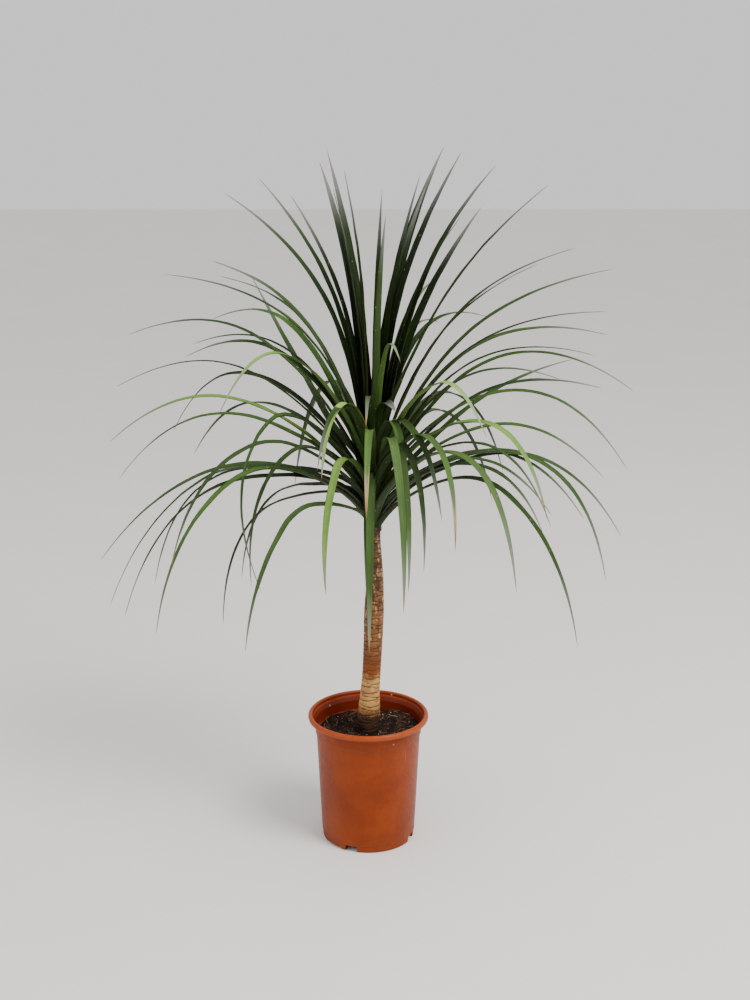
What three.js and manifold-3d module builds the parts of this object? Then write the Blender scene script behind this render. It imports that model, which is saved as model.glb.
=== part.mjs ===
// A potted dragon tree: a tapered plastic nursery pot with a rolled rim, the potting mix in it, one bare stem
// and a crown of long strap leaves that leave the stem on a rising spiral.
// Millimetres, +Z up, -Y to the front. The origin is the middle of the pot's underside, on the floor.
import * as THREE from "three";
import { mergeVertices } from "three/addons/utils/BufferGeometryUtils.js";
import Module from "manifold-3d";

// Pot: radii are of the outside of the wall.
const POT_HEIGHT = 208;
const RIM_RADIUS = 95;
const RIM_ROLL = 5;
const MOUTH_RADIUS = 87.5;
const SHOULDER_RADIUS = 84.5;
const LEDGE_HEIGHT = 178;
const LEDGE_STEP = 1.6;
const BODY_FOOT_RADIUS = 74;
const FOOT_RADIUS = 72.5;
const FOOT_HEIGHT = 10;
const WALL = 1.8;
const FLOOR_THICK = 2.4;
const PAD_RADIUS = 34;
const DISH_RISE = 3;
const DISH_OUTER_RADIUS = 62;
const POT_SEGMENTS = 48;
const DRAIN_SLOTS = 4;
const SLOT_BEARING = 248;
const SLOT_WIDTH = 20;
const SLOT_HEIGHT = 9;
const SLOT_INNER_RADIUS = 46;
const CHIP_BEARING = 221;
const CHIP_ANGLE = 38;
const CHIP_HEIGHT = 3;

// Potting mix
const MIX_HEIGHT = 180;
const MIX_GAP = 0.5;
const MIX_RINGS = 5;
const MIX_SEGMENTS = 32;

// Stem: centreline offset in x and radius at each height, from the buried end to the growing point.
const STEM_STATIONS = [
  { z: 96, x: 0, r: 9 },
  { z: 108, x: 0, r: 15 },
  { z: 160, x: 0, r: 18 },
  { z: 190, x: 0.5, r: 18 },
  { z: 217, x: 1.5, r: 17 },
  { z: 245, x: 3, r: 15.2 },
  { z: 275, x: 5, r: 14.5 },
  { z: 325, x: 7.5, r: 14.8 },
  { z: 375, x: 9, r: 15.4 },
  { z: 405, x: 10, r: 14.4 },
  { z: 435, x: 10.5, r: 13 },
  { z: 470, x: 9.5, r: 11.6 },
  { z: 500, x: 8, r: 11 },
  { z: 516, x: 8, r: 12 },
];
const STEM_SEGMENTS = 20;
const STEM_CLEARANCE = 0.4;

// Crown: the leaves stand on a cone that runs on from the top of the stem.
const CROWN_X = 8;
const CROWN_FOOT = 518;
const CROWN_TOP = 634;
const CROWN_FOOT_RADIUS = 13;
const CROWN_TOP_RADIUS = 5.5;
const FIRST_BEARING = 320;
const DIVERGENCE = 137.5;
const BASE_GAP = 0.4;

// Leaf blade
const LEAF_STATIONS = 13;
const LEAF_WIDTH = 15;
const BASE_WIDTH = 6;
const BASE_THICK = 1.3;
const BLADE_THICK = 1.2;
const SHEATH_LENGTH = 44;
const SHEATH_RISE_OLDEST = 60;
const SHEATH_RISE_YOUNGEST = 82;
const OVERHANG = 0.45;

// One row for each leaf, from the oldest at the foot of the crown to the youngest at its top: the bearing that the
// blade settles to (0 is +X, 270 the front), then reach from the crown's axis and height above the floor, first of
// the blade's middle and then of its tip. The last number is the blade's width, where it isn't LEAF_WIDTH.
const LEAVES = [
  [330, 212, 603, 342, 383],
  [150, 213, 500, 285, 300, 13],
  [205, 137, 542, 213, 344, 16],
  [350, 228, 638, 376, 517],
  [160, 269, 571, 462, 329],
  [305, 225, 670, 340, 505, 17],
  [80, 170, 640, 330, 430],
  [195, 212, 604, 338, 371, 17],
  [340, 243, 645, 362, 469, 17],
  [155, 277, 560, 397, 364],
  [268, 110, 607, 190, 377, 16],
  [20, 174, 699, 332, 752],
  [170, 247, 593, 439, 435],
  [330, 182, 644, 296, 575, 12],
  [135, 205, 790, 272, 871, 17],
  [200, 195, 656, 318, 479],
  [350, 198, 683, 347, 607, 13],
  [165, 240, 677, 416, 561, 13],
  [297, 180, 690, 250, 545, 16],
  [52, 190, 690, 360, 520],
  [183, 225, 720, 396, 652, 13],
  [318, 215, 711, 325, 589, 16],
  [110, 200, 700, 400, 470],
  [240, 103, 632, 140, 446, 16],
  [5, 190, 774, 398, 717, 13],
  [160, 205, 738, 335, 635],
  [283, 130, 672, 190, 440, 16],
  [95, 170, 760, 360, 720],
  [190, 161, 681, 173, 417],
  [352, 218, 733, 380, 618, 13],
  [150, 146, 813, 292, 808, 17],
  [267, 128, 692, 200, 582, 16],
  [12, 161, 789, 368, 796],
  [178, 185, 814, 365, 809, 12],
  [300, 185, 773, 303, 720, 14],
  [70, 140, 800, 310, 850],
  [222, 172, 805, 289, 733, 13],
  [5, 152, 820, 358, 904, 13],
  [150, 85, 860, 260, 1005],
  [290, 98, 692, 148, 455, 15],
  [40, 97, 804, 235, 811],
  [168, 155, 784, 292, 766, 17],
  [350, 128, 849, 293, 946, 12],
  [120, 63, 869, 163, 1052, 17],
  [245, 110, 727, 175, 629, 15],
  [30, 81, 834, 189, 989, 17],
  [155, 68, 870, 190, 1035],
  [286, 72, 805, 140, 795, 12],
  [60, 72, 880, 220, 1070, 18],
  [185, 121, 834, 302, 905, 12],
  [18, 85, 901, 191, 1054],
  [140, 35, 874, 88, 1075, 18],
  [286, 27, 850, 64, 995, 14],
  [25, 48, 876, 144, 1073, 18],
  [185, 18, 878, 42, 1053, 16],
  [345, 118, 887, 256, 1038, 14],
  [60, 13, 846, 26, 1022, 15],
];

const POT_BROWN = new THREE.MeshStandardMaterial({ color: 0xa84a20, roughness: 0.45, metalness: 0 });
const MIX_BLACK = new THREE.MeshStandardMaterial({ color: 0x2a1c14, roughness: 0.95, metalness: 0 });
const BARK_TAN = new THREE.MeshStandardMaterial({ color: 0xa9855a, roughness: 0.85, metalness: 0 });
const LEAF_GREEN = new THREE.MeshStandardMaterial({ color: 0x2f4a22, roughness: 0.45, metalness: 0 });

const radians = THREE.MathUtils.degToRad;
const { lerp, smoothstep } = THREE.MathUtils;

const wasm = await Module();
wasm.setup();

// A closed geometry as a manifold-3d solid, and back.
function toSolid(geometry) {
  const bare = geometry.clone();
  bare.deleteAttribute("normal");
  bare.deleteAttribute("uv");
  const merged = mergeVertices(bare, 1e-3);
  return new wasm.Manifold(
    new wasm.Mesh({
      numProp: 3,
      vertProperties: new Float32Array(merged.attributes.position.array),
      triVerts: new Uint32Array(merged.index.array),
    }),
  );
}

function toGeometry(solid) {
  const mesh = solid.getMesh();
  const geometry = new THREE.BufferGeometry();
  geometry.setAttribute("position", new THREE.BufferAttribute(new Float32Array(mesh.vertProperties), 3));
  geometry.setIndex(new THREE.BufferAttribute(new Uint32Array(mesh.triVerts), 1));
  geometry.computeVertexNormals();
  return geometry;
}

// A lathe profile of [radius, height] pairs turned about +Z.
function turned(profile, segments) {
  const points = profile.map(([radius, height]) => new THREE.Vector2(radius, height));
  return new THREE.LatheGeometry(points, segments).rotateX(Math.PI / 2);
}

// A closed skin over rings of equal length. A ring of one point closes an end to a tip, any other end is capped
// by a fan from its second point. Opposite sides are split along matching diagonals, so that the two faces of a
// thin bent blade stay clear of each other.
function skin(rings) {
  const positions = rings.flat().flatMap((point) => [point.x, point.y, point.z]);
  const faces = [];
  const starts = [];
  let count = 0;
  for (const ring of rings) {
    starts.push(count);
    count += ring.length;
  }
  for (let i = 0; i + 1 < rings.length; i++) {
    const sides = Math.max(rings[i].length, rings[i + 1].length);
    for (let k = 0; k < sides; k++) {
      const next = (k + 1) % sides;
      const [a, b] = rings[i].length === 1 ? [starts[i], starts[i]] : [starts[i] + k, starts[i] + next];
      const [d, c] =
        rings[i + 1].length === 1 ? [starts[i + 1], starts[i + 1]] : [starts[i + 1] + k, starts[i + 1] + next];
      const halves = 2 * k < sides ? [[a, b, c], [a, c, d]] : [[a, b, d], [b, c, d]];
      faces.push(...halves.filter((half) => new Set(half).size === 3).flat());
    }
  }
  const fan = (start, sides, flip) => {
    for (let k = 1; k + 1 < sides; k++) {
      const [b, c] = [start + ((1 + k) % sides), start + ((2 + k) % sides)];
      faces.push(...(flip ? [start + 1, c, b] : [start + 1, b, c]));
    }
  };
  fan(starts[0], rings[0].length, true);
  fan(starts.at(-1), rings.at(-1).length, false);
  const geometry = new THREE.BufferGeometry();
  geometry.setAttribute("position", new THREE.Float32BufferAttribute(positions, 3));
  geometry.setIndex(faces);
  geometry.computeVertexNormals();
  return geometry;
}

// Pot: outside from the foot up to the rim's roll, then down the inside and across the floor. Drain slots run out
// through the foot, and a long low chip is missing from the foot's edge beside one of them.
function potGeometry() {
  const rollTop = POT_HEIGHT;
  const rollHang = POT_HEIGHT - 2 * RIM_ROLL;
  const inset = RIM_ROLL * 0.3;
  const profile = [
    [0, 0],
    [PAD_RADIUS, 0],
    [PAD_RADIUS + DISH_RISE, DISH_RISE],
    [DISH_OUTER_RADIUS - DISH_RISE, DISH_RISE],
    [DISH_OUTER_RADIUS, 0],
    [FOOT_RADIUS, 0],
    [FOOT_RADIUS + 0.3, FOOT_HEIGHT],
    [BODY_FOOT_RADIUS, FOOT_HEIGHT + 1.2],
    [SHOULDER_RADIUS - LEDGE_STEP - 1, LEDGE_HEIGHT - 1.5],
    [SHOULDER_RADIUS - 1, LEDGE_HEIGHT],
    [SHOULDER_RADIUS, rollHang],
    [RIM_RADIUS - inset - 2, rollHang],
    [RIM_RADIUS - inset, rollHang + inset],
    [RIM_RADIUS, rollTop - RIM_ROLL],
    [RIM_RADIUS - inset, rollTop - inset],
    [RIM_RADIUS - 3.6, rollTop],
    [MOUTH_RADIUS + 1.4, rollTop - 0.8],
    [MOUTH_RADIUS, rollTop - 3],
    [SHOULDER_RADIUS - WALL, rollHang - 4],
    [SHOULDER_RADIUS - 1 - WALL, LEDGE_HEIGHT + 0.6],
    [SHOULDER_RADIUS - LEDGE_STEP - 1 - WALL, LEDGE_HEIGHT - 1],
    [BODY_FOOT_RADIUS - WALL, FOOT_HEIGHT + 3],
    [BODY_FOOT_RADIUS - WALL - 4, DISH_RISE + FLOOR_THICK],
    [0, DISH_RISE + FLOOR_THICK],
  ];
  let pot = toSolid(turned(profile, POT_SEGMENTS));
  const slotLength = BODY_FOOT_RADIUS + 4 - SLOT_INNER_RADIUS;
  for (let i = 0; i < DRAIN_SLOTS; i++) {
    const slot = new THREE.BoxGeometry(slotLength, SLOT_WIDTH, SLOT_HEIGHT + 2);
    slot.translate(SLOT_INNER_RADIUS + slotLength / 2, 0, SLOT_HEIGHT / 2 - 1);
    slot.rotateZ(radians(SLOT_BEARING + (360 / DRAIN_SLOTS) * i));
    pot = pot.subtract(toSolid(slot));
  }
  const chipLength = 2 * FOOT_RADIUS * Math.sin(radians(CHIP_ANGLE / 2));
  const chip = new THREE.BoxGeometry(BODY_FOOT_RADIUS - DISH_OUTER_RADIUS, chipLength, CHIP_HEIGHT + 2);
  chip.translate(BODY_FOOT_RADIUS - 3, 0, CHIP_HEIGHT / 2 - 1);
  chip.rotateZ(radians(CHIP_BEARING));
  return toGeometry(pot.subtract(toSolid(chip)));
}

// Inside radius of the pot's wall at a height between its floor and the ledge.
function potInside(z) {
  const share = (z - FOOT_HEIGHT - 3) / (LEDGE_HEIGHT - FOOT_HEIGHT - 4);
  return lerp(BODY_FOOT_RADIUS, SHOULDER_RADIUS - LEDGE_STEP - 1, share) - WALL;
}

// Centre and radius of the stem at a height, on a smooth curve through its stations.
const stemCentre = new THREE.CatmullRomCurve3(STEM_STATIONS.map(({ x, z }) => new THREE.Vector3(x, 0, z)));
function stemAt(z) {
  const next = Math.max(1, STEM_STATIONS.findIndex((station) => station.z >= z));
  const [low, high] = [STEM_STATIONS[next - 1], STEM_STATIONS[next]];
  const share = (z - low.z) / (high.z - low.z);
  return { x: lerp(low.x, high.x, share), r: lerp(low.r, high.r, share) };
}

// A ring of points about a centre at a height, anticlockwise from above.
function circle(x, z, radius, segments) {
  return Array.from({ length: segments }, (_, k) => {
    const angle = (k / segments) * 2 * Math.PI;
    return new THREE.Vector3(x + radius * Math.cos(angle), radius * Math.sin(angle), z);
  });
}

function stemGeometry() {
  const rings = STEM_STATIONS.map(({ z, x, r }) => circle(x, z, r, STEM_SEGMENTS));
  rings.push(circle(CROWN_X, CROWN_FOOT, CROWN_FOOT_RADIUS, STEM_SEGMENTS));
  rings.push(circle(CROWN_X, CROWN_TOP, CROWN_TOP_RADIUS, STEM_SEGMENTS));
  rings.push([new THREE.Vector3(CROWN_X, 0, CROWN_TOP + CROWN_TOP_RADIUS)]);
  return skin(rings);
}

// Potting mix: a plug that fills the pot, heaped at the back right and hollow at the left, with a socket for the
// stem.
function mixSurface(x, y) {
  const heap = 11 * Math.exp(-((x - 40) ** 2 + (y - 30) ** 2) / 1800);
  const hollow = 6 * Math.exp(-((x + 62) ** 2 + (y + 5) ** 2) / 1300);
  return MIX_HEIGHT - 4 + heap - hollow + 1.2 * Math.sin(x / 9) * Math.cos(y / 11);
}

function mixGeometry() {
  const top = LEDGE_HEIGHT - 6;
  const floor = DISH_RISE + FLOOR_THICK + MIX_GAP;
  const under = [
    circle(0, floor, BODY_FOOT_RADIUS - WALL - 5, MIX_SEGMENTS),
    circle(0, FOOT_HEIGHT + 4, potInside(FOOT_HEIGHT + 4) - 2 * MIX_GAP, MIX_SEGMENTS),
    circle(0, top, potInside(top) - 2 * MIX_GAP, MIX_SEGMENTS),
  ];
  const crumb = Array.from({ length: MIX_RINGS }, (_, i) => {
    const radius = (potInside(top) - 2 * MIX_GAP) * (1 - (i + 0.25) / MIX_RINGS);
    const ring = circle(0, 0, radius, MIX_SEGMENTS);
    ring.forEach((point) => (point.z = mixSurface(point.x, point.y)));
    return ring;
  });
  const peak = new THREE.Vector3(0, 0, mixSurface(0, 0));
  const plug = toSolid(skin([...under, ...crumb, [peak]]));
  const socketRings = STEM_STATIONS.filter(({ z }) => z < MIX_HEIGHT + 20).map(({ z, x, r }, i) =>
    circle(x, i === 0 ? z - STEM_CLEARANCE : z, r + STEM_CLEARANCE, STEM_SEGMENTS),
  );
  return toGeometry(plug.subtract(toSolid(skin(socketRings))));
}

// A leaf's centreline: a smooth curve in the plane of reach and height that leaves the crown steeply, passes the
// blade's middle and ends at its tip. The plane turns from the leaf's place on the spiral to the bearing that the
// blade settles to.
function leafLine(index, [bearing, middleReach, middleHeight, tipReach, tipHeight]) {
  const age = 1 - index / (LEAVES.length - 1);
  const baseHeight = lerp(CROWN_TOP - 6, CROWN_FOOT + 2, age);
  const climb = (baseHeight - CROWN_FOOT) / (CROWN_TOP - CROWN_FOOT);
  const baseReach = lerp(CROWN_FOOT_RADIUS, CROWN_TOP_RADIUS, climb) + BASE_GAP + BASE_THICK / 2;
  const rise = radians(lerp(SHEATH_RISE_YOUNGEST, SHEATH_RISE_OLDEST, age));
  const base = new THREE.Vector3(baseReach, 0, baseHeight);
  const sheath = new THREE.Vector3(Math.cos(rise), 0, Math.sin(rise)).multiplyScalar(SHEATH_LENGTH).add(base);
  const middle = new THREE.Vector3(middleReach, 0, middleHeight);
  const tip = new THREE.Vector3(tipReach, 0, tipHeight);
  const slope = tip.clone().sub(sheath).normalize();
  const inner = middle.clone().addScaledVector(slope, -OVERHANG * middle.distanceTo(sheath));
  const outer = middle.clone().addScaledVector(slope, OVERHANG * middle.distanceTo(tip));
  const profile = new THREE.CurvePath();
  profile.add(new THREE.CubicBezierCurve3(base, sheath, inner, middle));
  profile.add(new THREE.QuadraticBezierCurve3(middle, outer, tip));
  const spiral = FIRST_BEARING + DIVERGENCE * index;
  const turn = THREE.MathUtils.euclideanModulo(bearing - spiral + 180, 360) - 180;
  return (share) => {
    const { x: reach, z: height } = profile.getPointAt(share);
    const angle = radians(spiral + turn * smoothstep(share, 0, 0.35));
    return new THREE.Vector3(CROWN_X + reach * Math.cos(angle), reach * Math.sin(angle), height);
  };
}

// Blade width: narrow at the base, widest near a quarter, then a long taper.
function widthAt(share, width) {
  return lerp(BASE_WIDTH, width, smoothstep(share, 0, 0.22)) * (1 - share ** 2.5) ** 0.9;
}

// A leaf: a thin blade folded along its midrib, with its channel on the side that faces the stem or the sky.
function leafGeometry(index, row) {
  const line = leafLine(index, row);
  const width = row[5] ?? LEAF_WIDTH;
  const twistAtTip = radians(28 * Math.sin(index * 2.4));
  const rings = [];
  for (let i = 0; i < LEAF_STATIONS; i++) {
    const share = i / LEAF_STATIONS;
    const centre = line(share);
    const along = line(Math.min(1, share + 0.01)).sub(line(Math.max(0, share - 0.01))).normalize();
    const outward = new THREE.Vector3(centre.x - CROWN_X, centre.y, 0).normalize();
    const across = new THREE.Vector3(-outward.y, outward.x, 0);
    across.addScaledVector(along, -across.dot(along)).normalize();
    across.applyAxisAngle(along, twistAtTip * share);
    const upper = new THREE.Vector3().crossVectors(along, across);
    const half = widthAt(share, width) / 2;
    const thick = lerp(BASE_THICK, BLADE_THICK, smoothstep(share, 0, 0.2)) * (1 - 0.5 * share);
    const fold = half * lerp(0.55, 0.18, smoothstep(share, 0, 0.7));
    const place = (side, up) => centre.clone().addScaledVector(across, side).addScaledVector(upper, up);
    rings.push([place(half, fold), place(0, thick / 2), place(-half, fold), place(0, -thick / 2)]);
  }
  rings.push([line(1)]);
  return skin(rings);
}

const plant = new THREE.Group();

function addNode(name, geometry, material) {
  const mesh = new THREE.Mesh(geometry, material);
  mesh.name = name;
  plant.add(mesh);
}

addNode("pot", potGeometry(), POT_BROWN);
addNode("potting_mix", mixGeometry(), MIX_BLACK);
addNode("stem", stemGeometry(), BARK_TAN);
LEAVES.forEach((row, index) => {
  addNode(`leaf_${String(index + 1).padStart(2, "0")}`, leafGeometry(index, row), LEAF_GREEN);
});

export default plant;
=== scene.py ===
# %% [markdown]
# # A potted dragon tree
# A bare woody stem carries a spiral crown of long strap leaves and stands in a moulded plastic nursery pot
# of peaty mix. The measured model gives the place and the size of every part. This lesson reads those
# solids as a frame and grows the finished looks around it: thin folded blades, scarred bark, crumbly mix
# and a softly shining pot.

import math

import bmesh
import bpy
import numpy as np
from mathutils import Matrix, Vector, noise


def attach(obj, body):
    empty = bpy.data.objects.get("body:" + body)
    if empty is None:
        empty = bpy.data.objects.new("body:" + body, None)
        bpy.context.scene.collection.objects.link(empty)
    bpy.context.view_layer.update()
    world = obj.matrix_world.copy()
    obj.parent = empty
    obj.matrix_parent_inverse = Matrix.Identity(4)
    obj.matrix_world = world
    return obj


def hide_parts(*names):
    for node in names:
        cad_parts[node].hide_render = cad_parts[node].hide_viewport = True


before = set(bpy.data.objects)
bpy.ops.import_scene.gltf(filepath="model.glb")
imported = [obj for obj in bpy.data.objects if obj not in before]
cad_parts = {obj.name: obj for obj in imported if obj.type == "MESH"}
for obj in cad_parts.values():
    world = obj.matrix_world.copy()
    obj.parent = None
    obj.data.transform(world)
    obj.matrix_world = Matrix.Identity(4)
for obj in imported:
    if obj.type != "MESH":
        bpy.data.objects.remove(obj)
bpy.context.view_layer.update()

# %% [markdown]
# ## Small tools for node trees
# Both looks and shapes are made of nodes here. Every tree needs the same two moves: put a node in, and feed
# each of its inputs with either a number or another node's output. One helper does both, so that each later
# cell reads like a list of steps. An input is found by its name, or by its place in the list where a node
# has several of one name.


# %% Putting nodes in a tree
def feed(tree, node, key, value):
    """Sets or links one input of a node. Only inputs that the node's present mode shows are looked at."""
    shown = [socket for socket in node.inputs if socket.enabled]
    socket = shown[key] if isinstance(key, int) else next(s for s in shown if s.name == key)
    if isinstance(value, bpy.types.NodeSocket):
        tree.links.new(value, socket)
    else:
        socket.default_value = value


def put(tree, kind, inputs=None, **settings):
    """Adds a node, applies its settings, feeds its inputs and returns its first shown output."""
    node = tree.nodes.new(kind)
    for name, value in settings.items():
        setattr(node, name, value)
    for key, value in (inputs or {}).items():
        feed(tree, node, key, value)
    shown = [socket for socket in node.outputs if socket.enabled]
    return shown[0] if shown else None


def outlet(socket, name):
    """Another output of the node that a socket belongs to."""
    return next(s for s in socket.node.outputs if s.enabled and s.name == name)


def maths(tree, operation, *values):
    return put(tree, "ShaderNodeMath", dict(enumerate(values)), operation=operation)


def times(tree, *values):
    return maths(tree, "MULTIPLY", *values)


def plus(tree, *values):
    return maths(tree, "ADD", *values)


def minus(tree, *values):
    return maths(tree, "SUBTRACT", *values)


def vectors(tree, operation, *values):
    return put(tree, "ShaderNodeVectorMath", dict(enumerate(values)), operation=operation)


def scaled(tree, vector, amount):
    return put(tree, "ShaderNodeVectorMath", {"Vector": vector, "Scale": amount}, operation="SCALE")


def remap(tree, value, low, high, to_low=0.0, to_high=1.0, smooth=False):
    limits = {"Value": value, "From Min": low, "From Max": high, "To Min": to_low, "To Max": to_high}
    return put(tree, "ShaderNodeMapRange", limits, interpolation_type="SMOOTHSTEP" if smooth else "LINEAR")


# %% [markdown]
# ## Shape trees
# A Geometry Nodes tree is a recipe with named inputs. It is hung on an object as a modifier, its inputs are
# set by the identifier of each socket, and the evaluated result is then taken off as a plain mesh. The
# plain mesh is what rides on the frame, so nothing live is left on the finished plant.


# %% Starting a shape tree and taking its result
def shape_tree(name, **inputs):
    """A new Geometry Nodes group whose inputs have the given names and default values."""
    tree = bpy.data.node_groups.new(name, "GeometryNodeTree")
    tree.interface.new_socket("Geometry", in_out="INPUT", socket_type="NodeSocketGeometry")
    kinds = {float: "NodeSocketFloat", int: "NodeSocketInt", bpy.types.Material: "NodeSocketMaterial"}
    for title, default in inputs.items():
        kind = next(socket for kind, socket in kinds.items() if isinstance(default, kind))
        socket = tree.interface.new_socket(title, in_out="INPUT", socket_type=kind)
        socket.default_value = default
    tree.interface.new_socket("Geometry", in_out="OUTPUT", socket_type="NodeSocketGeometry")
    start = tree.nodes.new("NodeGroupInput")
    return tree, {socket.name: socket for socket in start.outputs if socket.name}


def close_tree(tree, geometry, material):
    """Real faces and a material come last, because instances don't leave Blender."""
    real = put(tree, "GeometryNodeRealizeInstances", {"Geometry": geometry})
    finish = put(tree, "GeometryNodeSetMaterial", {"Geometry": real, "Material": material})
    end = tree.nodes.new("NodeGroupOutput")
    tree.links.new(finish, end.inputs[0])


def grow(name, start_mesh, tree, **values):
    """Runs a shape tree on a mesh and returns the result as a new plain object."""
    seed = bpy.data.objects.new(name + "_start", start_mesh)
    bpy.context.scene.collection.objects.link(seed)
    modifier = seed.modifiers.new("grow", "NODES")
    modifier.node_group = tree
    for item in tree.interface.items_tree:
        if item.in_out == "INPUT" and item.name in values:
            modifier[item.identifier] = values[item.name]
    graph = bpy.context.evaluated_depsgraph_get()
    mesh = bpy.data.meshes.new_from_object(seed.evaluated_get(graph), preserve_all_data_layers=True,
                                           depsgraph=graph)
    seed.modifiers.remove(modifier)
    bpy.data.objects.remove(seed)
    mesh.name = name
    piece = bpy.data.objects.new(name, mesh)
    bpy.context.scene.collection.objects.link(piece)
    print(name, "has", sum(len(p.vertices) - 2 for p in mesh.polygons), "triangles")
    return piece


# %% [markdown]
# ## Shared finish effects
# Several finishes on this plant age in the same ways. Mix dust settles on the pot and the bark, and fine
# specks sit on leaves and plastic alike. Each effect is a shader group that gives back only a colour, a
# mask or a height. The shader itself stays in each material, where its steady values are set on its own
# sockets.


# %% Groups for blotches, specks and colour from a mask
def look_group(name, inputs, outputs):
    group = bpy.data.node_groups.new(name, "ShaderNodeTree")
    kinds = {"f": "NodeSocketFloat", "v": "NodeSocketVector", "c": "NodeSocketColor"}
    for title, (kind, default) in inputs.items():
        socket = group.interface.new_socket(title, in_out="INPUT", socket_type=kinds[kind])
        if default is not None:
            socket.default_value = default
    for title, kind in outputs.items():
        group.interface.new_socket(title, in_out="OUTPUT", socket_type=kinds[kind])
    start, end = group.nodes.new("NodeGroupInput"), group.nodes.new("NodeGroupOutput")
    return group, {s.name: s for s in start.outputs if s.name}, {s.name: s for s in end.inputs if s.name}


def tint(tree, factor, first, second):
    """A colour between two."""
    inputs = {"Factor": factor, "A": first, "B": second}
    return put(tree, "ShaderNodeMix", inputs, data_type="RGBA")


def ramp(tree, value, stops):
    """A colour ramp from (place, colour) stops."""
    node = tree.nodes.new("ShaderNodeValToRGB")
    while len(node.color_ramp.elements) < len(stops):
        node.color_ramp.elements.new(0.5)
    for element, (place, colour) in zip(node.color_ramp.elements, stops):
        element.position, element.color = place, colour
    feed(tree, node, 0, value)
    return node.outputs[0]


def paint(code):
    """A colour written as on a paint card, #rrggbb, turned into the linear values that Blender mixes."""
    parts = [int(code[i : i + 2], 16) / 255 for i in (1, 3, 5)]
    return tuple(v / 12.92 if v <= 0.04045 else ((v + 0.055) / 1.055) ** 2.4 for v in parts) + (1.0,)


BLOTCH, b_in, b_out = look_group(
    "soft_blotches", {"Vector": ("v", None), "Scale": ("f", 20.0), "Seed": ("f", 0.0)}, {"Amount": "f"}
)
cloud = put(
    BLOTCH,
    "ShaderNodeTexNoise",
    {"Vector": b_in["Vector"], "W": b_in["Seed"], "Scale": b_in["Scale"], "Detail": 5.0, "Roughness": 0.6},
    noise_dimensions="4D",
)
BLOTCH.links.new(remap(BLOTCH, cloud, 0.32, 0.68, smooth=True), b_out["Amount"])

SPECK, s_in, s_out = look_group(
    "fine_specks", {"Vector": ("v", None), "Scale": ("f", 300.0), "Share": ("f", 0.1)}, {"Amount": "f"}
)
cells = put(SPECK, "ShaderNodeTexVoronoi", {"Vector": s_in["Vector"], "Scale": s_in["Scale"]})
chance = put(SPECK, "ShaderNodeSeparateColor", {"Color": outlet(cells, "Color")})
picked = maths(SPECK, "LESS_THAN", chance, s_in["Share"])
dot = remap(SPECK, outlet(cells, "Distance"), 0.12, 0.3, 1.0, 0.0, smooth=True)
SPECK.links.new(times(SPECK, picked, dot), s_out["Amount"])

FIBRE, f_in, f_out = look_group(
    "long_fibres", {"Across": ("f", 0.5), "Along": ("f", 0.5), "Lines": ("f", 30.0), "Seed": ("f", 0.0)},
    {"Height": "f"},
)
thread = put(
    FIBRE,
    "ShaderNodeCombineXYZ",
    {"X": times(FIBRE, f_in["Across"], f_in["Lines"]), "Y": f_in["Along"], "Z": f_in["Seed"]},
)
strands = put(FIBRE, "ShaderNodeTexNoise",
              {"Vector": thread, "Scale": 1.0, "Detail": 3.0, "Roughness": 0.65})
FIBRE.links.new(remap(FIBRE, strands, 0.3, 0.7), f_out["Height"])
print("shared effects:", [g.name for g in (BLOTCH, SPECK, FIBRE)])


# %% [markdown]
# ## Starting a finish
# Every finish on the plant is one Principled shader with its own tree in front of it. A helper makes the
# pair and gives the shader's steady values, and another drops in one of the shared groups.


# %% A new finish and a group in it
def finish(name, **steady):
    material = bpy.data.materials.new(name)
    material.use_nodes = True
    tree = material.node_tree
    shader = next(n for n in tree.nodes if n.type == "BSDF_PRINCIPLED")
    for title, value in steady.items():
        shader.inputs[title.replace("_", " ")].default_value = value
    return material, tree, shader


def effect(tree, group, **inputs):
    node = tree.nodes.new("ShaderNodeGroup")
    node.node_tree = group
    for title, value in inputs.items():
        feed(tree, node, title, value)
    return node.outputs[0]


def bump(tree, shader, height, distance, strength):
    normal = put(tree, "ShaderNodeBump", {"Height": height, "Distance": distance, "Strength": strength})
    tree.links.new(normal, shader.inputs["Normal"])


def stored(tree, name):
    """A value kept on the mesh under a name."""
    node = tree.nodes.new("ShaderNodeAttribute")
    node.attribute_name = name
    return node.outputs["Fac"]


def object_place(tree):
    node = tree.nodes.new("ShaderNodeTexCoord")
    return node.outputs["Object"]


# %% [markdown]
# ## Reading the leaves off the frame
# Each leaf of the frame is a slim solid whose corners sit in rings of four round the blade's midline,
# closed by one point at the tip. Walking from the tip along the edges finds the rings again in order. From
# each ring come the middle of the blade, half its width, the direction across it, and the side that faces
# up. These are all that a finer blade needs, and they keep it exactly where the frame has it.


# %% Rings, middles and widths of a leaf
def welded(node):
    """A merged copy of a frame node's mesh, as points and neighbour lists."""
    work = bmesh.new()
    work.from_mesh(node.data)
    bmesh.ops.remove_doubles(work, verts=work.verts, dist=1e-6)
    points = np.array([v.co[:] for v in work.verts])
    neighbours = [[e.other_vert(v).index for e in v.link_edges] for v in work.verts]
    work.free()
    return points, neighbours


def rings_from(points, neighbours, first):
    """Points in layers by how many edges they lie from the first."""
    seen, layers = {first}, [[first]]
    while True:
        layer = sorted({n for v in layers[-1] for n in neighbours[v]} - seen)
        if not layer:
            return [points[layer] for layer in layers]
        seen.update(layer)
        layers.append(layer)


CROWN_AXIS = np.array([0.008, 0.0, 0.0])


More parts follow.
